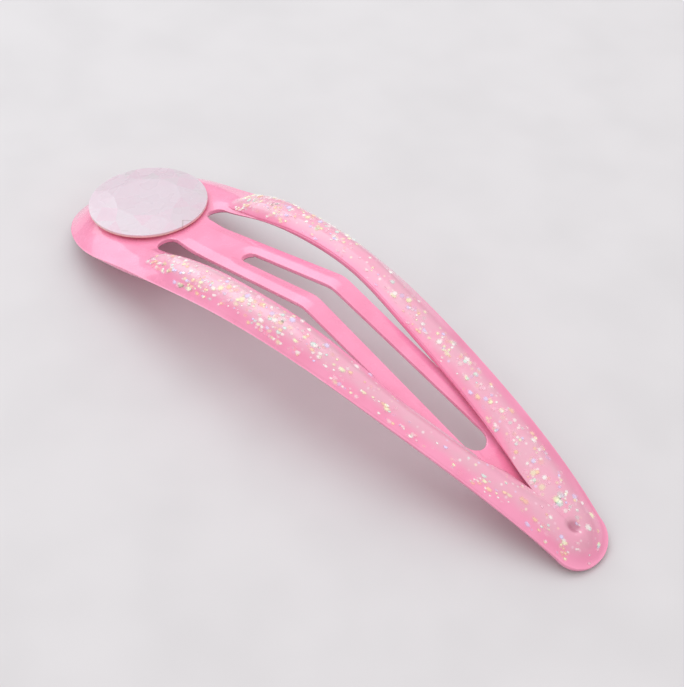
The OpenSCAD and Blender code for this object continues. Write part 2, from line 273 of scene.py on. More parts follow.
class StageSizes(PropertyGroup):
    """Camera, floor and light."""

    elevation: angle("Elevation", "Height angle of the camera", 45.222)
    heading: angle("Heading", "Turn of the camera about the vertical", 38.707)
    roll: angle("Roll", "Roll of the camera", 5.748)
    distance: length("Distance", "Distance from the camera to the clip's middle", 108.32)
    aim_z: length("Aim height", "Height of the point that the camera aims at", 2.7)
    lens: number("Lens", "Focal length in millimetres", 78.26)
    shift_x: number("Shift X", "Sideways shift of the frame", 0.02361)
    shift_y: number("Shift Y", "Upward shift of the frame", -0.00474)
    sky_high: number("Overhead light", "Strength of the light from above", 0.97)
    sky_low: number("Low light", "Strength of the light from near the floor", 0.43)
    sky_front: number("Front light", "Share of that light from the near side", 1.03)
    sky_back: number("Back light", "Share of that light from the far side", 0.97)
    box_l: length("Softbox length", "Length of the softbox", 460)
    box_w: length("Softbox width", "Width of the softbox", 290)
    box_place: FloatVectorProperty(name="Softbox place", description="Where the softbox's middle stands",
                                   default=(-230 * MM, 25 * MM, 250 * MM), subtype="TRANSLATION",
                                   unit="LENGTH")
    box_power: number("Softbox", "Power of the softbox in watts", 0.53)
    box_tilt: angle("Softbox tilt", "How far the softbox leans towards the clip", 34.4)
    box_tint: colour("Softbox tint", "Colour of the softbox's light", (0.86, 0.95, 1.0))
    sky_tint: colour("Sky tint", "Colour of the light from all round", (1.0, 0.965, 0.97))
    floor_half: length("Floor", "Half the width of the floor", 600)


def settings():
    """The scene that holds the property groups."""
    return bpy.context.scene


def spline(knots, values, x):
    """Natural cubic curve through the knots. Its second derivatives solve the usual three-band system."""
    knots, values = np.asarray(knots, float), np.asarray(values, float)
    step = np.diff(knots)
    count = len(knots)
    band = np.eye(count)
    right_side = np.zeros(count)
    i = np.arange(1, count - 1)
    band[i, i - 1] = step[:-1]
    band[i, i] = 2 * (step[:-1] + step[1:])
    band[i, i + 1] = step[1:]
    right_side[i] = 6 * np.diff(np.diff(values) / step)
    bend = np.linalg.solve(band, right_side)
    x = np.clip(x, knots[0], knots[-1])
    k = np.clip(np.searchsorted(knots, x, side="right") - 1, 0, count - 2)
    after, before, h = x - knots[k], knots[k + 1] - x, step[k]
    return ((bend[k] * before**3 + bend[k + 1] * after**3) / (6 * h)
            + (values[k] / h - bend[k] * h / 6) * before
            + (values[k + 1] / h - bend[k + 1] * h / 6) * after)


def lerp(a, b, t):
    """Straight mix of a and b."""
    return a + (b - a) * t


def smooth(t):
    """0 to 1 with level ends."""
    t = np.clip(t, 0, 1)
    return t * t * (3 - 2 * t)


def smooth_sum(t):
    """Integral of smooth from 0 to t."""
    inside = np.clip(t, 0, 1)
    return inside**3 - inside**4 / 2 + np.maximum(t - 1, 0)


def unit_rows(v):
    """Vectors scaled to length 1."""
    return v / np.maximum(np.linalg.norm(v, axis=-1, keepdims=True), 1e-12)


def plate_height(x):
    """Lower face of the head plate: a straight slope."""
    s = settings().clip_sheet
    return s.head_h + np.tan(s.head_slope) * (x - s.opening_x)


def table_height(shares, x):
    """One column of the height table at x."""
    return settings().clip_sheet.arch * spline(HEIGHT_ALONG, shares, x / CLIP_L)


def outer_line(r):
    """Outline at section r: quarter ellipses at the head and the tip, and the side by its table."""
    s = settings().clip_sheet
    side_l = CLIP_L - s.head_l - s.tip_l
    u = np.clip((r - HEAD_N) / SIDE_N, 0, 1)
    half = lerp(s.tip_w / 2, HEAD_W / 2, spline(WIDTH_ALONG, WIDTH_SHARE, u))
    a = np.pi / 2 * np.clip(r / HEAD_N, 0, 1)
    b = np.pi / 2 * np.clip((r - SIDE_END) / TIP_N, 0, 1)
    x = s.head_l * (1 - np.cos(a)) + u * side_l + s.tip_l * np.sin(b)
    return x, half * np.sin(a) * np.cos(b)


def inner_line(r):
    """Edge of the opening at section r: root, half circle, side by its table, tip's middle line."""
    s, t = settings().clip_sheet, settings().clip_tongue
    root = t.root_w / 2
    gap_r = (s.opening_w / 2 - root) / 2
    a = np.pi * np.clip((r - ROOT_N) / (HEAD_N - ROOT_N), 0, 1)
    u = np.clip((r - HEAD_N) / JOIN_N, 0, 1)
    v = np.clip((r - JOIN) / (LAST - JOIN), 0, 1)
    side = s.opening_w / 2 * spline(OPEN_ALONG, OPEN_SHARE, u)
    head = root * np.clip(r / ROOT_N, 0, 1) + gap_r * (1 - np.cos(a))
    join_x = s.opening_x + s.opening_l
    tip_x = CLIP_L - (1 - MID_SHARE) * s.tip_l
    x = s.opening_x - gap_r * np.sin(a) + u * s.opening_l + v * (tip_x - join_x)
    return x, np.where(r <= HEAD_N, head, np.where(r >= JOIN, 0, side))


def arm_share(x, y):
    """0 on the head's middle plate, 1 on the arms."""
    s = settings().clip_sheet
    share = smooth((2 * np.abs(y) / s.opening_w - PLATE_SHARE) / (ARM_SHARE - PLATE_SHARE))
    return np.where(x > s.opening_x, 1.0, share)


def crest_height(x, y):
    """Height of the sheet's crest: the plate's on the head's middle, the arms' own outside it."""
    return lerp(plate_height(x), table_height(CREST_SHARE, x), arm_share(x, y))


def leaned(points, samples=400):
    """Points moved sideways with the opening's narrow end, by a parabola that is 0 at the outlines."""
    s = settings().clip_sheet
    x = points[..., 0] + CLIP_L / 2
    half_x, half = outer_line(np.linspace(0, LAST, samples))
    share = np.clip(1 - (points[..., 1] / np.maximum(np.interp(x, half_x, half), 1e-9)) ** 2, 0, 1)
    along = smooth((x - s.lean_x) / s.lean_l) * smooth((CLIP_L - x) / (2 * s.tip_l))
    moved = points.copy()
    moved[..., 1] -= s.lean * along * share
    return moved


def lower_face(r, across):
    """Lower face at section r and share across: the crest less a parabola down to each edge.

    On the head the inner parabola starts from the crest at the opening's edge. The plate keeps its slope.
    """
    s = settings().clip_sheet
    ax, ay = outer_line(r)
    bx, by = inner_line(r)
    x, y = lerp(ax, bx, across), lerp(ay, by, across)
    width = np.hypot(bx - ax, by - ay)
    band = np.minimum(s.roll_w, width / 2)
    crest = crest_height(x, y)
    crest_inner = lerp(crest_height(bx, by), crest, smooth((r - HEAD_N + FADE_N) / FADE_N))
    edge = s.arch * np.maximum(0, spline(HEIGHT_ALONG, EDGE_SHARE, ax / CLIP_L) - FLAT_SHARE)
    inner_arm = table_height(INNER_SHARE, bx)
    inner = np.where(r <= HEAD_N, lerp(plate_height(bx), inner_arm, arm_share(bx, by)), inner_arm)
    from_outer = 1 - np.clip(across * width / band, 0, 1)
    from_inner = 1 - np.clip((1 - across) * width / band, 0, 1)
    z = crest - (crest - edge) * from_outer**2 - (crest_inner - inner) * from_inner**2
    return np.stack([x - CLIP_L / 2, y, z], axis=-1)


def middle_face(r, across, step_r=0.02, step_u=0.004):
    """Middle of the sheet's thickness, and its upward normal by small steps along and across.

    At the root's corner, where the opening's edge turns, the step along is only backward.
    """
    point = lower_face(r, across) + np.array([0, 0, settings().clip_sheet.thickness / 2])
    ahead = np.where(np.abs(r - ROOT_N) < 1e-6, 0, step_r)
    along = lower_face(np.minimum(r + ahead, LAST), across)
    along = along - lower_face(np.maximum(r - step_r, 0), across)
    over = lower_face(r, np.minimum(across + step_u, 1)) - lower_face(r, np.maximum(across - step_u, 0))
    normal = unit_rows(np.cross(over, along))
    normal = np.where(normal[..., 2:] < 0, -normal, normal)
    on_middle = (np.abs(point[..., 1]) < 1e-7)[..., None]
    flat = normal * np.array([1, 0, 1])
    return point, unit_rows(np.where(on_middle, flat, normal))


def mirrored_loop(half):
    """Rows of half a piece, then the same rows mirrored in Y on the way back, as one closed round."""
    back = half[-2:0:-1] * np.array([1, -1, 1])
    return np.concatenate([half, back])


def there_and_back(values):
    """Values of the rows of half a piece, then the same on the way back."""
    return np.concatenate([values, values[-2:0:-1]])


def ring_faces(rows, cols, closed_rows=True):
    """Quads of a grid whose columns run round, and whose rows may."""
    i = np.arange(rows if closed_rows else rows - 1)[:, None]
    j = np.arange(cols)[None, :]
    i2, j2 = (i + 1) % rows, (j + 1) % cols
    return np.stack([i * cols + j, i * cols + j2, i2 * cols + j2, i2 * cols + j], axis=-1)


def add_piece(name, mesh, material, body, node=None):
    """Object of a finished mesh, with its material, body and the node that it replaces."""
    mesh.materials.append(material)
    piece = bpy.data.objects.new(name, mesh)
    bpy.context.scene.collection.objects.link(piece)
    if body:
        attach(piece, body)
    if node:
        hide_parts(node)
    return piece


def add_values(mesh, label, domain, values):
    """Attribute with one number for each point or face."""
    layer = mesh.attributes.new(label, "FLOAT", domain)
    layer.data.foreach_set("value", np.asarray(values, np.float32).reshape(-1))


def build_mesh(name, points, quads, body, material, node=None, attributes=(), crease=45.0):
    """Piece from points and quads. Equal points are merged, so some quads become triangles."""
    points = np.asarray(points, float).reshape(-1, 3)
    keys, first, back = np.unique(np.round(points, 8), axis=0, return_index=True, return_inverse=True)
    faces = back.reshape(-1)[np.asarray(quads).reshape(-1, 4)]
    ordered = np.sort(faces, axis=1)
    whole = (np.diff(ordered, axis=1) > 0).all(axis=1)
    quads4 = faces[whole]
    tris = np.concatenate([faces[~whole][:, [0, 1, 2]], faces[~whole][:, [0, 2, 3]]])
    tris = tris[(tris[:, 0] != tris[:, 1]) & (tris[:, 1] != tris[:, 2]) & (tris[:, 0] != tris[:, 2])]
    used = np.unique(np.concatenate([quads4.reshape(-1), tris.reshape(-1)]))
    renumber = np.full(len(keys), -1)
    renumber[used] = np.arange(len(used))
    kept = first[used]
    mesh = bpy.data.meshes.new(name)
    mesh.from_pydata(points[kept].tolist(), [], renumber[quads4].tolist() + renumber[tris].tolist())
    for label, values in attributes:
        add_values(mesh, label, "POINT", np.reshape(values, -1)[kept])
    mesh.shade_smooth()
    mesh.set_sharp_from_angle(angle=np.radians(crease))
    return add_piece(name, mesh, material, body, node)


def edge_samples(count, tight=0.6):
    """Shares from 0 to 1, closer together near both ends."""
    t = np.linspace(0, 1, count)
    return lerp(t, (1 - np.cos(np.pi * t)) / 2, tight)


def outward(line, side):
    """Level unit vectors square to a plan outline, on its left for side 1 and on its right for side -1.

    Both ends of the outline lie on the middle line, where the vectors run along X.
    """
    way = unit_rows(np.gradient(line, axis=0))
    square = side * np.stack([-way[:, 1], way[:, 0], np.zeros(len(way))], -1)
    for end in (0, -1):
        square[end] = (np.sign(square[end, 0]) or 1, 0, 0)
    return square


def inset_plan(line_a, away_a, edge_a, line_b, away_b, edge_b, share):
    """Plan places between two outlines, each drawn in by the size of its rounded edge."""
    a = line_a - edge_a[:, None] * away_a[:, :2]
    b = line_b - edge_b[:, None] * away_b[:, :2]
    return lerp(a[:, None], b[:, None], share[None, :, None])


def sheet_section(middle, normal, away_a, away_b, thick, edge_a, edge_b, round_n=5):
    """Closed cross-sections of a sheet: rounded edge a, top, rounded edge b, bottom.

    An edge stands out by its size times the root of a cosine, from the lower corner to the upper one.
    Also gives 1 along the cut edges' lower corners, for a burr line with painted shade, and the number of
    points in an edge.
    """
    turn = np.linspace(-np.pi / 2, np.pi / 2, 2 * round_n + 1)[1:-1]
    out = np.cos(turn)[None, :, None] ** 0.5
    up = np.sin(turn)[None, :, None]

    def rim(column, away, edge, order):
        lift = normal[:, column][:, None] * thick / 2 * up
        push = away[:, None] * np.reshape(edge, (-1, 1, 1)) * out
        return (middle[:, column][:, None] + lift + push)[:, ::order]

    top = middle + normal * thick / 2
    bottom = (middle - normal * thick / 2)[:, ::-1]
    parts = [rim(0, away_a, edge_a, 1), top, rim(-1, away_b, edge_b, -1), bottom]
    loop = np.concatenate(parts, axis=1)
    n_rim = len(turn)
    lower_b = n_rim + middle.shape[1] + n_rim
    burr_and_shade = np.zeros(loop.shape[:2])
    burr_and_shade[:, [0, 1, -1, lower_b - 2, lower_b - 1, lower_b]] = 1
    return loop, burr_and_shade, n_rim


def clip_sheet_points(per_section=8, across_n=26):
    """Half of the sheet's closed cross-sections, from the head's middle line to the tip's end.

    The two faces stop short of both outlines by the rounded edge's size, measured square to each outline.
    """
    s, t = settings().clip_sheet, settings().clip_tongue
    r = np.linspace(0, LAST, LAST * per_section + 1)
    r = r[(r <= ROOT_N) | (r >= ROOT_N + CORNER_N)]
    outer = np.stack(outer_line(r), -1)
    inner = np.stack(inner_line(r), -1)
    away_a = outward(outer, 1)
    root_rows = r < ROOT_N - 1e-9
    away_b = np.zeros_like(away_a)
    away_b[root_rows] = (1, 0, 0)
    away_b[~root_rows] = outward(inner[~root_rows], -1)
    away_b[np.argmin(root_rows)] = (0, 1, 0)
    edge_b = np.where(root_rows, 0, np.minimum(s.edge, RIM_SHARE * inner[:, 1]) * (r < JOIN))
    inner[root_rows, 1] = np.minimum(inner[root_rows, 1], t.root_w / 2 - s.edge)
    way = inner - outer
    width = np.linalg.norm(way, axis=1)
    way = way / width[:, None]
    start = -s.edge * (away_a[:, :2] * way).sum(1) / width
    stop = np.minimum(1 - edge_b * (away_b[:, :2] * way).sum(1) / width, 1)
    share = edge_samples(across_n)
    across = lerp(start[:, None], stop[:, None], share[None, :])
    middle, normal = middle_face(r[:, None] + 0 * across, across)
    edge_a = np.full(len(r), s.edge)
    plan = inset_plan(outer, away_a, edge_a, inner, away_b, edge_b, share)
    middle[..., :2] = plan - np.array([CLIP_L / 2, 0])
    loop, burr_and_shade, n_rim = sheet_section(middle, normal, away_a, away_b, s.thickness, edge_a, edge_b)
    loop[[0, -1], :, 1] = 0
    return r, loop, burr_and_shade, n_rim, across_n


def build_sheet(material):
    """Head plate, arms and tip as one closed sheet, with no inner walls where the arms have joined."""
    r, half, burr_and_shade, n_rim, top_n = clip_sheet_points()
    loop = mirrored_loop(half)
    rows, cols = loop.shape[:2]
    rounds = np.concatenate([r, r[-2:0:-1]])
    joined = (rounds >= JOIN - 1e-9) & (np.roll(rounds, -1) >= JOIN - 1e-9)
    wall = np.zeros(cols, bool)
    wall[n_rim + top_n - 1:2 * n_rim + top_n] = True
    quads = ring_faces(rows, cols)[~(joined[:, None] & wall[None, :])]
    loop[..., 2] = np.maximum(loop[..., 2], 0)
    # Marks the cut edges' lower corners for the burr line with painted shade.
    marks = [("burr_and_shade", there_and_back(burr_and_shade))]
    return build_mesh("painted_sheet", leaned(loop), quads, "frame", material, "frame",
                      marks)


def head_place(x, y, rounds=6):
    """Section and share across of a point of the head near the root, found by rounds of correction."""
    s, t = settings().clip_sheet, settings().clip_tongue
    per_section = t.root_w / 2 / ROOT_N
    r = np.clip(np.abs(y) / per_section, 0, ROOT_N)
    for _ in range(rounds):
        ax, ay = outer_line(r)
        back = np.maximum(s.opening_x - x, 0) / (s.opening_x - ax)
        r = np.clip((np.abs(y) - back * ay) / ((1 - back) * per_section), 0, ROOT_N)
    return r, 1 - back


def tongue_height(x, y, edge_distance, step=0.02 * MM):
    """Middle of the tongue's sheet.

    At the root it has the head's own height and slope, which fade out as cubics. The plate's slope bends
    to the rise, and at the crease to the fall. The edges drop by a straight bevel.
    """
    s, t = settings().clip_sheet, settings().clip_tongue
    root, crease = s.opening_x, s.opening_x + t.crease_x
    plate = np.tan(s.head_slope)
    bend = 3 * t.bend_l
    rise = plate + (t.crease_rise - plate * t.crease_x) / (t.crease_x - bend / 2)
    under = table_height(INNER_SHARE, t.pass_x) - t.gap - s.thickness
    crease_z = s.head_h + t.crease_rise
    fall = (under - crease_z) / (t.pass_x - crease)
    z = (s.head_h + plate * (x - root)
         + (rise - plate) * bend * smooth_sum((x - root) / bend)
         + (fall - rise) * t.bend_l * smooth_sum((x - crease) / t.bend_l + 0.5))
    r_root, whole = head_place(np.full_like(x, root), y)
    at_root = lower_face(r_root, whole)[..., 2]
    r_back, share_back = head_place(np.full_like(x, root - step), y)
    slope = (at_root - lower_face(r_back, share_back)[..., 2]) / step
    ahead = np.clip((x - root) / bend, 0, 1)
    crown = at_root - s.head_h
    z = z + crown * (1 - smooth(ahead)) + (slope - plate) * bend * ahead * (1 - ahead) ** 2
    bevel = t.roll_h * np.clip(1 - edge_distance / t.roll_w, 0, 1) * smooth((x - root) / (2 * t.roll_w))
    return z - bevel + s.thickness / 2


def tongue_half(x):
    """Half width of the tongue: straight from its root to its crease, then level."""
    s, t = settings().clip_sheet, settings().clip_tongue
    return lerp(t.root_w / 2, t.width / 2, np.clip((x - s.opening_x) / t.crease_x, 0, 1))


def slot_ends():
    """Middles of the slot's two round ends along the clip, and their radii."""
    t = settings().clip_tongue
    r0, r1 = t.slot_w_root / 2, t.slot_w_tip / 2
    start = settings().clip_sheet.opening_x + t.slot_x
    return start + r0, start + t.slot_l - r1, r0, r1


def tongue_lines(per_section=8, per_mm=7, root_rows=40, end_rows=48, closer=1.3):
    """Outline and slot edge of half the tongue: the root's fan, the straight stretch, the end's fan.

    The root's points are those where the sheet's own sections end. Also gives the number of them. Past
    them the rows start close together and spread by a power.
    """
    s, t = settings().clip_sheet, settings().clip_tongue
    root, end = s.opening_x, s.opening_x + t.length
    end_r = t.width / 2
    from_x, to_x, r0, r1 = slot_ends()
    share = np.linspace(0, 1, ROOT_N * per_section + 1)[:-1]
    y = np.minimum(t.root_w / 2 * share, t.root_w / 2 - s.edge)
    outer_root = np.stack([np.full(len(y), root), y], -1)
    x = root + (from_x - root) * np.linspace(0, 1, root_rows + 1)[:-1] ** closer
    outer_a = np.concatenate([outer_root, np.stack([x, tongue_half(x)], -1)])
    a = np.pi / 2 * np.linspace(0, 1, len(outer_a) + 1)[:-1]
    slot_a = np.stack([from_x - r0 * np.cos(a), r0 * np.sin(a)], -1)
    x = np.linspace(from_x, to_x, int((to_x - from_x) / MM * per_mm))
    outer_b = np.stack([x, tongue_half(x)], -1)
    slot_b = np.stack([x, lerp(r0, r1, (x - from_x) / (to_x - from_x))], -1)
    q = np.linspace(0, 1, end_rows + 1)[1:]
    straight = (end - end_r - to_x) / ((end - end_r - to_x) + end_r * np.pi / 2)
    c = np.pi / 2 * np.clip((q - straight) / (1 - straight), 0, 1)
    x = lerp(to_x, end - end_r, np.clip(q / straight, 0, 1)) + end_r * np.sin(c)
    outer_c = np.stack([x, end_r * np.cos(c)], -1)
    d = np.pi / 2 * q
    slot_c = np.stack([to_x + r1 * np.sin(d), r1 * np.cos(d)], -1)
    outer = np.concatenate([outer_a, outer_b, outer_c])
    return outer, np.concatenate([slot_a, slot_b, slot_c]), len(outer_root)


def build_tongue(material, across_n=40, step=0.01 * MM, level=0.3):
    """Tongue as one closed sheet round its slot. Its first rows lie where the head's last ones do.

    Rows that run nearly along the clip have no slope across it: their sideways share is under level.
    """
    s, t = settings().clip_sheet, settings().clip_tongue
    outer, slot, root_n = tongue_lines()
    root = s.opening_x
    rows = len(outer)
    away_a = np.zeros((rows, 3))
    away_a[root_n:] = outward(outer[root_n:], 1)
    away_a[root_n] = (0, 1, 0)
    away_b = outward(slot, -1)
    edge_a = np.where(np.arange(rows) < root_n, 0, s.edge)
    edge_b = np.full(rows, s.edge)
    plan = inset_plan(outer, away_a, edge_a, slot, away_b, edge_b, edge_samples(across_n))
    x, y = plan[..., 0], plan[..., 1]
    past_end = np.maximum(x - (root + t.length - t.width / 2), 0)
    from_side = np.where(past_end > 0, t.width / 2 - np.hypot(past_end, y), tongue_half(x) - y)
    from_x, to_x, r0, r1 = slot_ends()
    slot_r = lerp(r0, r1, np.clip((x - root - t.slot_x) / t.slot_l, 0, 1))
    from_slot = np.hypot(x - np.clip(x, from_x, to_x), y) - slot_r
    near = np.minimum(from_side, from_slot)
    middle = np.stack([x - CLIP_L / 2, y, tongue_height(x, y, near)], -1)
    before, ahead = np.maximum(x - step, root), x + step
    slope_x = (tongue_height(ahead, y, near) - tongue_height(before, y, near)) / (ahead - before)
    over = np.gradient(middle, axis=1)
    run = np.maximum(np.hypot(over[..., 0], over[..., 1]), 1e-12)
    drop = (over[..., 2] - slope_x * over[..., 0]) / run
    sideways = over[..., 1] / run
    steep = np.abs(sideways) > level
    slope_y = np.where(steep, drop / np.where(steep, sideways, 1), 0)
    normal = unit_rows(np.stack([-slope_x, -slope_y, np.ones_like(slope_x)], -1))
    loop, burr_and_shade, _ = sheet_section(middle, normal, away_a, away_b, s.thickness, edge_a, edge_b)
    loop[[0, -1], :, 1] = 0
    loop = mirrored_loop(loop)
    quads = ring_faces(*loop.shape[:2])
    # Marks the cut edges' lower corners for the burr line with painted shade.
    marks = [("burr_and_shade", there_and_back(burr_and_shade))]
    piece = build_mesh("snap_tongue", loop, quads, None, material, "tongue", marks)
    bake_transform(piece)
    return piece


def coat_edges(side):
    """Sections and shares across of the coat's outer and inner edge on one arm."""
    if side > 0:
        return FAR_COAT_AT, FAR_COAT_OUTER, FAR_COAT_INNER
    return NEAR_COAT_AT, NEAR_COAT_OUTER, NEAR_COAT_INNER


def coat_at(r, u, side):
    """Share across the arm, and thickness of the coat, at section r and share u of the coat's own width.

    On the outer side it fades in as a smooth step with a little of a straight slope. On the inner side
    it rises nearly straight, from a thin rounded lip. The two are multiplied. Where the arms have joined,
    the inner edge no longer counts and one dome spans the tip.
    """
    c = settings().clip_coat
    at, outer, inner = coat_edges(side)
    low = np.maximum(spline(at, outer, r), COAT_FIRST)
    high = np.where(r < JOIN, np.clip(spline(at, inner, r), low, COAT_LAST), 1)
    ax, ay = outer_line(r)
    bx, by = inner_line(r)
    width = np.hypot(bx - ax, by - ay)
    across = lerp(low, high, u)
    merge = smooth((r - JOIN + MERGE_N) / MERGE_N)
    from_outer = (across - low) * width
    from_inner = (high - across) * width + merge * DOME_BEADS * c.bead
    fade = np.clip(from_outer / c.feather, 0, 1)
    fade = lerp(smooth(fade), fade, FADE_STRAIGHT)
    rise = np.clip(from_inner / c.bead, 0, 1)
    rise = lerp(rise, smooth(rise), RISE_ROUND)
    lip = np.sqrt(1 - (1 - np.clip(from_inner / (LIP_W * c.bead), 0, 1)) ** 2)
    return across, c.thickness * fade * lip * lerp(LIP_H, 1, rise)


def coat_half(side, across_n=33, front_n=3, front_rows=40, closer=1.5, arm_rows=136, tip_rows=80):
    """Points, normals and thicknesses of the coat on one arm. Both arms share the sections of the tip.

    Over the first few sections the rows start close together and spread by a power.
    """
    first = coat_edges(side)[0][0]
    front = first + front_n * np.linspace(0, 1, front_rows + 1)[:-1] ** closer
    arm = np.linspace(first + front_n, JOIN, arm_rows + 1)[:-1]
    tip = np.linspace(JOIN, LAST, tip_rows + 1)
    r = np.concatenate([front, arm, tip])[:, None]
    u = edge_samples(across_n, 0.8)[None, :]
    across, depth = coat_at(r, u, side)
    point, normal = middle_face(r + 0 * across, across)
    return r[:, 0], point, normal, depth


def dimple_share(x, y):
    """1 in the middle of the pressed dimple, 0 from its rim outwards: a smooth round pit."""
    s, c = settings().clip_sheet, settings().clip_coat
    cx = CLIP_L / 2 - s.tip_l - c.dimple_back
    return 1 - smooth(np.hypot(x - cx, y) / (c.dimple_d / 2))


def build_coat(material):
    """Domed coat over both arms and round the tip, with its underside set into the paint."""
    s, c = settings().clip_sheet, settings().clip_coat
    halves = []
    for side, density in ((1, FAR_GLITTER), (-1, NEAR_GLITTER)):
        r, point, normal, depth = coat_half(side)
        top = point + normal * (s.thickness / 2 + depth)[..., None]
        pit = dimple_share(top[..., 0], top[..., 1])
        top[..., 2] -= c.dimple_h * pit
        low = point + normal * (s.thickness / 2 - np.minimum(c.root, depth))[..., None]
        top[-1, :, 1] = 0
        low[-1, :, 1] = 0
        flip = np.array([1, side, 1])
        sown = np.interp(r, GLITTER_AT, density)[:, None] + 0 * depth
        halves.append((r, top * flip, low * flip, depth / c.thickness, pit, sown))
    r, top, low, *shares = (np.concatenate([far, near[-2::-1]]) for far, near in zip(*halves))
    cols = top.shape[1]
    loop = np.concatenate([top, low[:, ::-1]], axis=1)
    quads = ring_faces(len(loop), 2 * cols, closed_rows=False)
    joined = (r[:-1] >= JOIN - 1e-9) & (r[1:] >= JOIN - 1e-9)
    wall = np.zeros(2 * cols, bool)
    wall[cols - 1] = True
    quads = quads[~(joined[:, None] & wall[None, :])]
    marks = []
    for label, share in zip(("coat_depth", "pit", "sown"), shares):
        marks.append((label, np.concatenate([share, share[:, ::-1]], axis=1)))
    return build_mesh("glitter_coat_resin", leaned(loop), quads, "frame", material,
                      "glitter_coat", marks, crease=80.0)


def build_flakes(material):
    """Six-sided glitter flakes in small groups on the coat's surface, nearly flat to it.

    A group's section is drawn from the table of how dense the glitter is, and its flakes lie round it.
    Each flake has a middle point, and core is 1 there and 0 on its corners. Sunk says how deep in the
    resin it seems to lie.
    """
    s, c = settings().clip_sheet, settings().clip_coat
    rng = np.random.default_rng(11)
    turn = (np.arange(6) * np.pi / 3)[None, :, None]
    flakes, hues, depths = [], [], []
    for side, density, band in ((1, FAR_GLITTER, FAR_BAND), (-1, NEAR_GLITTER, NEAR_BAND)):
        fine = np.linspace(coat_edges(side)[0][0] + CLEAR_N, LAST - CLEAR_N, 400)
        weight = np.cumsum(np.interp(fine, GLITTER_AT, density))
        group_r = np.interp(rng.random(c.groups), weight / weight[-1], fine)
        group_u = np.clip(band[0] + GROUP_SPREAD * rng.normal(size=c.groups), GROUP_LOW, GROUP_HIGH)
        members = rng.integers(1, 5, c.groups)
        count = members.sum()
        r = np.repeat(group_r, members) + FLAKE_ALONG * rng.normal(size=count)
        r = np.clip(r, fine[0], fine[-1])
        u = np.repeat(group_u, members) + FLAKE_ACROSS * rng.normal(size=count)
        across, depth = coat_at(r, np.clip(u, *band[1:]), side)
        point, normal = middle_face(r, across)
        size = c.flake_r * np.clip(np.exp(SIZE_SPREAD * rng.normal(size=count)), SIZE_LOW, SIZE_HIGH)
        place = point + normal * (s.thickness / 2 + depth + FLAKE_LIFT)[:, None]
        place[:, 2] -= c.dimple_h * dimple_share(place[:, 0], place[:, 1])
        facing = unit_rows(normal + FLAKE_TILT * rng.normal(size=normal.shape))
        one = unit_rows(np.cross(facing, rng.normal(size=facing.shape)))[:, None]
        other = np.cross(facing, one[:, 0])[:, None]
        ring = place[:, None] + (one * np.cos(turn) + other * np.sin(turn)) * size[:, None, None]
        flake = np.concatenate([place[:, None], ring[:, ::side]], axis=1)
        flakes.append(flake * np.array([1, side, 1]))
        hues.append(rng.random(count))
        depths.append(rng.random(count))
    flakes = np.concatenate(flakes)
    point_n = flakes.shape[1]
    base = np.arange(len(flakes))[:, None] * point_n
    corners = ([0, 1, 2, 3], [0, 3, 4, 5], [0, 5, 6, 1])
    quads = np.concatenate([base + np.array([four]) for four in corners])
    marks = [
        ("hue", np.repeat(np.concatenate(hues), point_n)),
        ("core", np.tile(np.eye(1, point_n), len(flakes))),
        ("sunk", np.repeat(np.concatenate(depths), point_n)),
    ]
    return build_mesh("glitter_flakes", leaned(flakes), quads, "frame", material, None,
                      marks)


def disc_facets(n, arc):
    """Triangles of the disc's facets, and which facet each belongs to.

    Rings, from the middle out: table corners, middle corners half a step on, rim points, base points. A
    kite stands on each table corner and touches the rim. A star triangle lies between two kites on the
    table's side, and two girdle facets on the rim's side.
    """
    rim_n = n * arc
    table, mid, rim, base = 0, n, 2 * n, 2 * n + rim_n
    top, under = base + rim_n, base + rim_n + 1
    i = np.arange(n)
    j = (i + 1) % n
    k = np.arange(rim_n)
    k2 = (k + 1) % rim_n
    flat = np.stack([np.full(n, top), table + i, table + j], -1)
    star = np.stack([table + i, mid + i, table + j], -1)
    kite_a = np.stack([table + i, rim + arc * i, mid + i], -1)
    kite_b = np.stack([table + i, mid + (i - 1) % n, rim + arc * i], -1)
    girdle = np.stack([mid + k // arc, rim + k, rim + k2], -1)
    wall_a = np.stack([rim + k, base + k, base + k2], -1)
    wall_b = np.stack([rim + k, base + k2, rim + k2], -1)
    bottom = np.stack([np.full(rim_n, under), base + k2, base + k], -1)
    faces = np.concatenate([flat, star, kite_a, kite_b, girdle, wall_a, wall_b, bottom])
    half_arc = k // (arc // 2)
    facet = np.concatenate([0 * i, 1 + i, 1 + n + i, 1 + n + i, 1 + 2 * n + half_arc, *[0 * k] * 3])
    return faces, facet


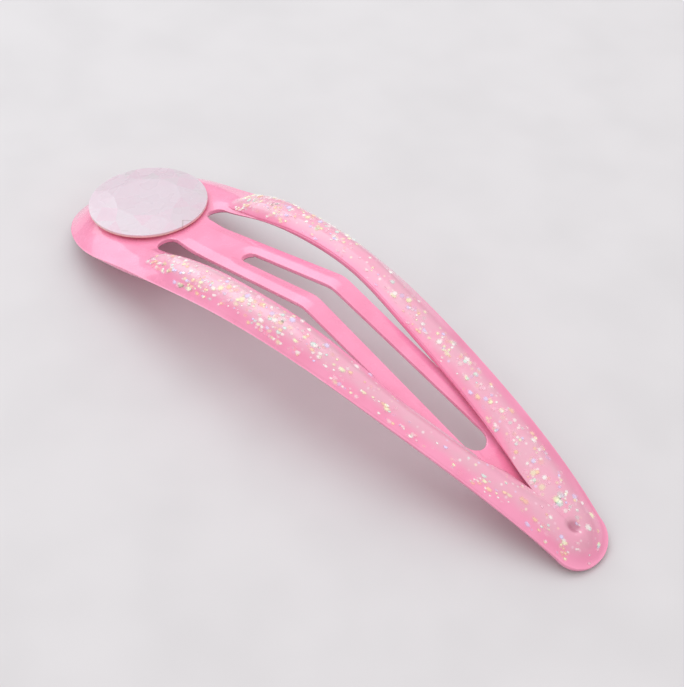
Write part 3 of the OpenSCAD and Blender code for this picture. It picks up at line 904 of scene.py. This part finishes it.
def build_disc(material):
    """Faceted disc with a thin straight rim. A facet's tint is a seeded draw and a painted pink shade,
    higher on the near side.
    """
    s, d = settings().clip_sheet, settings().clip_disc
    n, arc = d.facets, 8
    rim_r, table_r = d.diameter / 2, d.table / 2

    def ring(radius, z, turn, count):
        a = d.turn + 2 * np.pi * (np.arange(count) + turn) / count
        return np.stack([radius * np.cos(a), radius * np.sin(a), np.full(count, z)], -1)

    height = d.rim + d.crown
    points = np.concatenate([
        ring(table_r, height, 0, n),
        ring(MIDDLE_R * rim_r, d.rim + MIDDLE_H * d.crown, 0.5, n),
        ring(rim_r, d.rim, 0, n * arc),
        ring(rim_r, 0, 0, n * arc),
        [[0, 0, height], [0, 0, 0]],
    ])
    place = (Matrix.Translation((d.centre - CLIP_L / 2, 0, plate_height(d.centre) + s.thickness + d.glue))
             @ Matrix.Rotation(-s.head_slope, 4, "Y"))
    faces, facet = disc_facets(n, arc)
    rng = np.random.default_rng(5)
    tint = rng.random(facet.max() + 1)
    tint[0] = 0.5
    # Painted pink shade from the head: the facets towards the camera's side get a higher tint.
    near_side = 0.5 - 0.5 * points[faces, 1].mean(1) / rim_r
    mesh = bpy.data.meshes.new("milky_disc")
    mesh.from_pydata(points.tolist(), [], faces.tolist())
    mesh.transform(place)
    add_values(mesh, "facet_tint_and_shade", "FACE", DRAWN_TINT * tint[facet] + NEAR_SHADE * near_side)
    # Painted warm glow on the rim's lower edge.
    glow = np.zeros(len(points))
    glow[-2 - n * arc:-2] = 1
    add_values(mesh, "painted_rim_glow", "POINT", glow)
    mesh.shade_flat()
    return add_piece("milky_disc", mesh, material, "frame", "cap_disc")


def add_node(tree, kind, inputs=None, **options):
    """Node with its options set and its inputs filled: a socket is linked, anything else is a value."""
    node = tree.nodes.new(kind)
    for key, value in options.items():
        setattr(node, key, value)
    for key, value in (inputs or {}).items():
        if isinstance(value, bpy.types.NodeSocket):
            tree.links.new(value, node.inputs[key])
        else:
            node.inputs[key].default_value = value
    return node


def new_group(name, inputs, outputs):
    """Empty node group with named sockets, and its input and output nodes."""
    group = bpy.data.node_groups.new(name, "ShaderNodeTree")
    for label, kind, value in inputs:
        socket = group.interface.new_socket(label, in_out="INPUT", socket_type=kind)
        socket.default_value = value
    for label, kind in outputs:
        group.interface.new_socket(label, in_out="OUTPUT", socket_type=kind)
    return group, group.nodes.new("NodeGroupInput").outputs, group.nodes.new("NodeGroupOutput").inputs


def ramp(tree, value, low, high, out_low=0.0, out_high=1.0):
    """Value mapped from one range to another with level ends, and held outside it."""
    inputs = {"Value": value, "From Min": low, "From Max": high, "To Min": out_low, "To Max": out_high}
    return add_node(tree, "ShaderNodeMapRange", inputs, interpolation_type="SMOOTHSTEP").outputs["Result"]


def times(tree, a, b):
    """Product of two values."""
    return add_node(tree, "ShaderNodeMath", {0: a, 1: b}, operation="MULTIPLY").outputs[0]


def blend_colour(tree, share, a, b):
    """Mix of two colours by a mask."""
    inputs = {0: share}
    for index, value in ((6, a), (7, b)):
        inputs[index] = value if isinstance(value, bpy.types.NodeSocket) else (*value, 1)
    return add_node(tree, "ShaderNodeMix", inputs, data_type="RGBA").outputs[2]


def place_group(tree, name, inputs=None):
    """Outputs of a shared group placed in a material with its own values."""
    return add_node(tree, "ShaderNodeGroup", inputs, node_tree=shared(name)).outputs


def mottle_group():
    """Soft patches and fine grain: two noises on the piece's own coordinates."""
    group, inside, out = new_group(
        "mottle",
        [("Patch Size", "NodeSocketFloat", 2 * MM), ("Grain Size", "NodeSocketFloat", 0.3 * MM)],
        [("Patches", "NodeSocketFloat"), ("Grain", "NodeSocketFloat")],
    )
    place = add_node(group, "ShaderNodeTexCoord").outputs["Object"]
    for label, size, detail in (("Patches", "Patch Size", 2.0), ("Grain", "Grain Size", 1.0)):
        over = {0: 1.0, 1: inside[size]}
        scale = add_node(group, "ShaderNodeMath", over, operation="DIVIDE").outputs[0]
        noise = add_node(group, "ShaderNodeTexNoise", {"Vector": place, "Scale": scale, "Detail": detail})
        group.links.new(noise.outputs["Fac"], out[label])
    return group


def scratch_group():
    """Thin line from one place to another, seen from above, by the distance to its nearest point."""
    group, inside, out = new_group(
        "scratch",
        [("Start", "NodeSocketVector", (0, 0, 0)), ("End", "NodeSocketVector", (0, 0, 0)),
         ("Width", "NodeSocketFloat", 0.05 * MM)],
        [("Line", "NodeSocketFloat")],
    )

    def vector(operation, a, b, output="Vector", socket=1):
        node = add_node(group, "ShaderNodeVectorMath", {0: a, socket: b}, operation=operation)
        return node.outputs[output]

    flat = (1, 1, 0)
    place = vector("MULTIPLY", add_node(group, "ShaderNodeTexCoord").outputs["Object"], flat)
    start = vector("MULTIPLY", inside["Start"], flat)
    way = vector("SUBTRACT", vector("MULTIPLY", inside["End"], flat), start)
    here = vector("SUBTRACT", place, start)
    parts = {0: vector("DOT_PRODUCT", here, way, "Value"), 1: vector("DOT_PRODUCT", way, way, "Value")}
    share = add_node(group, "ShaderNodeMath", parts, operation="DIVIDE", use_clamp=True).outputs[0]
    nearest = vector("SCALE", way, share, socket="Scale")
    far = vector("DISTANCE", here, nearest, "Value")
    line = ramp(group, far, times(group, inside["Width"], 0.35), inside["Width"], 1.0, 0.0)
    group.links.new(line, out["Line"])
    return group


def pink_group():
    """Colour of the pink paint, with its soft patches."""
    f = settings().clip_finish
    amount = [("Amount", "NodeSocketFloat", 0.5)]
    group, inside, out = new_group("pink_colour", amount, [("Color", "NodeSocketColor")])
    patches = place_group(group, "mottle", {"Patch Size": f.mottle, "Grain Size": f.grain})["Patches"]
    share = times(group, ramp(group, patches, 0.35, 0.7), inside["Amount"])
    group.links.new(blend_colour(group, share, f.paint, f.paint_deep), out["Color"])
    return group


def palette_group():
    """Colour of a glitter flake from a number between 0 and 1."""
    pick = [("Pick", "NodeSocketFloat", 0.0)]
    group, inside, out = new_group("glitter_palette", pick, [("Color", "NodeSocketColor")])
    node = add_node(group, "ShaderNodeValToRGB", {"Fac": inside["Pick"]})
    node.color_ramp.interpolation = "CONSTANT"
    stops = node.color_ramp.elements
    stops[1].position = FLAKE_SHADES[1][0]
    for place, _ in FLAKE_SHADES[2:]:
        stops.new(place)
    for stop, (_, shade) in zip(stops, FLAKE_SHADES):
        stop.color = (*shade, 1)
    group.links.new(node.outputs["Color"], out["Color"])
    return group


GROUP_MAKERS = {
    "mottle": mottle_group,
    "scratch": scratch_group,
    "pink_colour": pink_group,
    "glitter_palette": palette_group,
}


def shared(name):
    """Node group of that name, made the first time it is asked for."""
    return bpy.data.node_groups.get(name) or GROUP_MAKERS[name]()


def attribute(tree, name):
    """Value of a point or face attribute."""
    return add_node(tree, "ShaderNodeAttribute", attribute_name=name).outputs["Fac"]


def scratch(tree, start, end, width):
    """Mask of a scratch between two places given in millimetres."""
    inputs = {"Width": width * MM}
    for key, (x, y) in (("Start", start), ("End", end)):
        inputs[key] = (x * MM, y * MM, 0)
    return place_group(tree, "scratch", inputs)["Line"]


def fill(tree, shader, **values):
    """Sockets of a shader filled by their names: an output is linked, anything else is a value."""
    for key, value in values.items():
        socket = shader.inputs[key.replace("_", " ")]
        if isinstance(value, bpy.types.NodeSocket):
            tree.links.new(value, socket)
        else:
            socket.default_value = value


def new_material(name, **values):
    """Material with one Principled shader, the given values on its own sockets, and its tree."""
    material = bpy.data.materials.new(name)
    material.use_nodes = True
    tree = material.node_tree
    shader = tree.nodes["Principled BSDF"]
    fill(tree, shader, **values)
    return material, tree, shader


def bump(tree, shader, height, strength, distance):
    """Bump of the shader's normal."""
    inputs = {"Height": height, "Strength": strength, "Distance": distance}
    fill(tree, shader, Normal=add_node(tree, "ShaderNodeBump", inputs).outputs["Normal"])


def paint_material():
    """Glossy pink paint with soft patches, a fine grain, and a broken dark line along the cut edges: partly
    burr, partly painted shade.
    """
    f = settings().clip_finish
    material, tree, shader = new_material(
        "pink_paint", Coat_Weight=0.7, Coat_Roughness=0.05, Coat_IOR=1.6)
    spots = place_group(tree, "mottle", {"Patch Size": 0.5 * MM, "Grain Size": f.grain})
    pink = place_group(tree, "pink_colour", {"Amount": 0.55})["Color"]
    broken = ramp(tree, spots["Patches"], 0.22, 0.42, 0.3, 1.0)
    # Dark line along the cut edges' lower corners: partly a burr, partly painted shade under the edge.
    burr_and_shade = times(tree, ramp(tree, attribute(tree, "burr_and_shade"), 0.05, 0.5), broken)
    tone = blend_colour(tree, burr_and_shade, pink, f.burr_and_shade)
    fill(tree, shader, Base_Color=tone, Roughness=ramp(tree, spots["Patches"], 0.3, 0.7, 0.2, 0.3))
    bump(tree, shader, spots["Grain"], 0.01, 0.02 * MM)
    return material


def coat_material():
    """Milky pink resin, paler where it is thick and full of glitter, with fine specks under its gloss."""
    f = settings().clip_finish
    material, tree, shader = new_material(
        "glitter_resin", Coat_Weight=0.9, Coat_Roughness=0.2, Coat_IOR=1.55)
    waves = place_group(tree, "mottle", {"Patch Size": 1.6 * MM, "Grain Size": 0.5 * MM})
    pink = place_group(tree, "pink_colour", {"Amount": 0.55})["Color"]
    depth = attribute(tree, "coat_depth")
    milky = times(tree, ramp(tree, depth, 0.15, 0.85), ramp(tree, waves["Patches"], 0.3, 0.65, 0.6, 1.0))
    resin = blend_colour(tree, milky, pink, f.coat)
    thickest = times(tree, times(tree, attribute(tree, "sown"), milky), 0.5)
    resin = blend_colour(tree, thickest, resin, f.coat_pale)
    # The tip's dimple is darker in colour towards its middle.
    resin = blend_colour(tree, ramp(tree, attribute(tree, "pit"), 0.15, 0.7, 0.0, 0.75), resin, f.darkening)
    place = add_node(tree, "ShaderNodeTexCoord").outputs["Object"]
    cells = add_node(tree, "ShaderNodeTexVoronoi", {"Vector": place, "Scale": 1 / f.speck})
    pick = add_node(tree, "ShaderNodeSeparateColor", {"Color": cells.outputs["Color"]}).outputs
    dot = ramp(tree, cells.outputs["Distance"], 0.1, 0.36, 1.0, 0.0)
    speck = times(tree, dot, ramp(tree, pick[1], 0.45, 0.7))
    speck = times(tree, times(tree, speck, ramp(tree, depth, 0.3, 0.7)), 0.6)
    shade = place_group(tree, "glitter_palette", {"Pick": pick[0]})["Color"]
    tone = blend_colour(tree, speck, resin, shade)
    fill(tree, shader, Base_Color=tone, Roughness=ramp(tree, waves["Grain"], 0.3, 0.7, 0.08, 0.2))
    bump(tree, shader, waves["Patches"], 0.35, 0.12 * MM)
    return material


def flake_material():
    """Pearly flakes, each in one colour, with a faint painted glow for their glint. They blur towards their
    rims, and the sunk ones are faint.
    """
    # The emission is a painted glint: each flake glows faintly in its own colour.
    material, tree, shader = new_material("glitter_flake", Roughness=0.35, Emission_Strength=0.05)
    shade = place_group(tree, "glitter_palette", {"Pick": attribute(tree, "hue")})["Color"]
    faint = ramp(tree, attribute(tree, "sunk"), 0.0, 1.0, 0.85, 0.15)
    clear = times(tree, ramp(tree, attribute(tree, "core"), 0.0, 0.75), faint)
    fill(tree, shader, Base_Color=shade, Emission_Color=shade, Alpha=clear)
    return material


def disc_material():
    """Milky resin with a tint and painted shade to each facet, a painted warm glow on the rim, a small
    square notch mark and a scratch.
    """
    f = settings().clip_finish
    material, tree, shader = new_material(
        "milky_resin", Subsurface_Weight=0.35, Subsurface_Scale=0.5 * MM,
        Subsurface_Radius=(1.0, 0.8, 0.85), Coat_Weight=0.2, Coat_Roughness=0.15)
    cloud = place_group(tree, "mottle", {"Patch Size": 4 * MM, "Grain Size": 1.2 * MM})
    # The facet tint holds a painted pink shade, pinker towards the near side and greyer towards the far
    # side.
    tint = attribute(tree, "facet_tint_and_shade")
    tone = blend_colour(tree, ramp(tree, tint, 0.5, 0.8), f.milk, f.milk_pink)
    tone = blend_colour(tree, ramp(tree, tint, 0.45, 0.1), tone, f.milk_grey)
    tone = blend_colour(tree, ramp(tree, cloud["Patches"], 0.4, 0.7, 0.0, 0.3), tone, f.milk_pink)
    # Painted warm glow along the rim's lower edge.
    tone = blend_colour(tree, attribute(tree, "painted_rim_glow"), tone, f.peach)
    for start, end in NOTCH_LINES:
        tone = blend_colour(tree, times(tree, scratch(tree, start, end, 0.07), 0.6), tone, f.mark)
    tone = blend_colour(tree, times(tree, scratch(tree, *DISC_SCRATCH, 0.06), 0.35), tone, f.mark)
    fill(tree, shader, Base_Color=tone, Roughness=ramp(tree, cloud["Grain"], 0.3, 0.7, 0.22, 0.36))
    bump(tree, shader, cloud["Patches"], 0.06, 0.1 * MM)
    return material


def floor_material():
    """Plain pale floor with soft low crinkles."""
    f = settings().clip_finish
    material, tree, shader = new_material("floor_paper", Roughness=0.9)
    crinkle = place_group(tree, "mottle", {"Patch Size": 9 * MM, "Grain Size": 1.5 * MM})
    shade = [0.95 * part for part in f.floor]
    tone = blend_colour(tree, ramp(tree, crinkle["Patches"], 0.3, 0.75), f.floor, shade)
    fill(tree, shader, Base_Color=tone)
    bump(tree, shader, crinkle["Patches"], 0.3, 0.6 * MM)
    return material


def add_floor(v):
    """Flat square floor at height 0."""
    mesh = bpy.data.meshes.new("floor")
    h = v.floor_half
    mesh.from_pydata([(-h, -h, 0), (h, -h, 0), (h, h, 0), (-h, h, 0)], [], [(0, 1, 2, 3)])
    mesh.materials.append(floor_material())
    floor = bpy.data.objects.new("floor", mesh)
    bpy.context.scene.collection.objects.link(floor)


def add_camera(v):
    """Camera that looks at the clip's middle from two angles and a distance, rolled about its axis."""
    e, phi, roll = v.elevation, v.heading, v.roll
    right = Vector((cos(phi), sin(phi), 0))
    ahead = Vector((-sin(phi), cos(phi), 0))
    forward = cos(e) * ahead - sin(e) * Vector((0, 0, 1))
    up = sin(e) * ahead + cos(e) * Vector((0, 0, 1))
    cam_right = cos(roll) * right + sin(roll) * up
    cam_up = cos(roll) * up - sin(roll) * right
    place = Vector((0, 0, v.aim_z)) - v.distance * forward
    data = bpy.data.cameras.new("camera")
    data.lens = v.lens
    data.shift_x, data.shift_y = v.shift_x, v.shift_y
    data.clip_start = 5 * MM
    camera = bpy.data.objects.new("camera", data)
    turn = Matrix((cam_right, cam_up, -forward)).transposed().to_4x4()
    camera.matrix_world = Matrix.Translation(place) @ turn
    bpy.context.scene.collection.objects.link(camera)
    bpy.context.scene.camera = camera


def add_sky(v):
    """Soft light from all round: stronger overhead, and a little stronger from the near side."""
    world = bpy.data.worlds.new("studio")
    world.use_nodes = True
    tree = world.node_tree
    direction = add_node(tree, "ShaderNodeTexCoord").outputs["Generated"]
    way = add_node(tree, "ShaderNodeSeparateXYZ", {"Vector": direction}).outputs
    overhead = ramp(tree, way["Z"], 0.1, 0.65, v.sky_low, v.sky_high)
    strength = times(tree, overhead, ramp(tree, way["Y"], -0.7, 0.7, v.sky_front, v.sky_back))
    background = tree.nodes["Background"]
    background.inputs["Color"].default_value = (*v.sky_tint, 1)
    tree.links.new(strength, background.inputs["Strength"])
    bpy.context.scene.world = world


def add_softbox(v):
    """Large soft lamp on the head's side, leaning over the clip."""
    lamp = bpy.data.lights.new("softbox_left", "AREA")
    lamp.shape = "RECTANGLE"
    lamp.size, lamp.size_y = v.box_l, v.box_w
    lamp.energy = v.box_power
    lamp.color = v.box_tint
    softbox = bpy.data.objects.new("softbox_left", lamp)
    softbox.location = v.box_place
    softbox.rotation_euler = (0, -v.box_tilt, 0)
    bpy.context.scene.collection.objects.link(softbox)


class CLIP_OT_sheet(Operator):
    """Adds the painted sheet and its tongue"""

    bl_idname = "clip.sheet"
    bl_label = "Painted sheet"

    def execute(self, context):
        paint = paint_material()
        build_sheet(paint)
        build_tongue(paint)
        return {"FINISHED"}


class CLIP_OT_disc(Operator):
    """Adds the milky faceted disc"""

    bl_idname = "clip.disc"
    bl_label = "Milky disc"

    def execute(self, context):
        build_disc(disc_material())
        return {"FINISHED"}


class CLIP_OT_coat(Operator):
    """Adds the resin coat and the glitter in it"""

    bl_idname = "clip.coat"
    bl_label = "Glitter coat"

    def execute(self, context):
        build_coat(coat_material())
        build_flakes(flake_material())
        return {"FINISHED"}


class CLIP_OT_stage(Operator):
    """Adds the floor, the light and the camera"""

    bl_idname = "clip.stage"
    bl_label = "Stage"

    def execute(self, context):
        for add in (add_floor, add_camera, add_sky, add_softbox):
            add(settings().clip_stage)
        context.scene.view_settings.view_transform = "Standard"
        return {"FINISHED"}


class CLIP_PT_panel(Panel):
    """Lists the steps that build the clip"""

    bl_idname = "CLIP_PT_panel"
    bl_label = "Snap hair clip"
    bl_space_type = "VIEW_3D"
    bl_region_type = "UI"
    bl_category = "Clip"

    def draw(self, context):
        for step in STEPS:
            self.layout.operator(step.bl_idname)


STEPS = (CLIP_OT_stage, CLIP_OT_sheet, CLIP_OT_disc, CLIP_OT_coat)
GROUPS = {
    "clip_sheet": SheetSizes,
    "clip_tongue": TongueSizes,
    "clip_disc": DiscSizes,
    "clip_coat": CoatSizes,
    "clip_finish": FinishColours,
    "clip_stage": StageSizes,
}


def register():
    """Registers the groups, the operators and the panel."""
    for kind in (*GROUPS.values(), *STEPS, CLIP_PT_panel):
        bpy.utils.register_class(kind)
    for name, group in GROUPS.items():
        setattr(bpy.types.Scene, name, PointerProperty(type=group))


def unregister():
    """Takes away what register added."""
    for name in GROUPS:
        delattr(bpy.types.Scene, name)
    for kind in reversed((*GROUPS.values(), *STEPS, CLIP_PT_panel)):
        bpy.utils.unregister_class(kind)


def main():
    """Registers the add-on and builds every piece."""
    register()
    for step in STEPS:
        name = step.bl_idname.split(".")[1]
        getattr(bpy.ops.clip, name)()


if __name__ == "__main__":
    main()
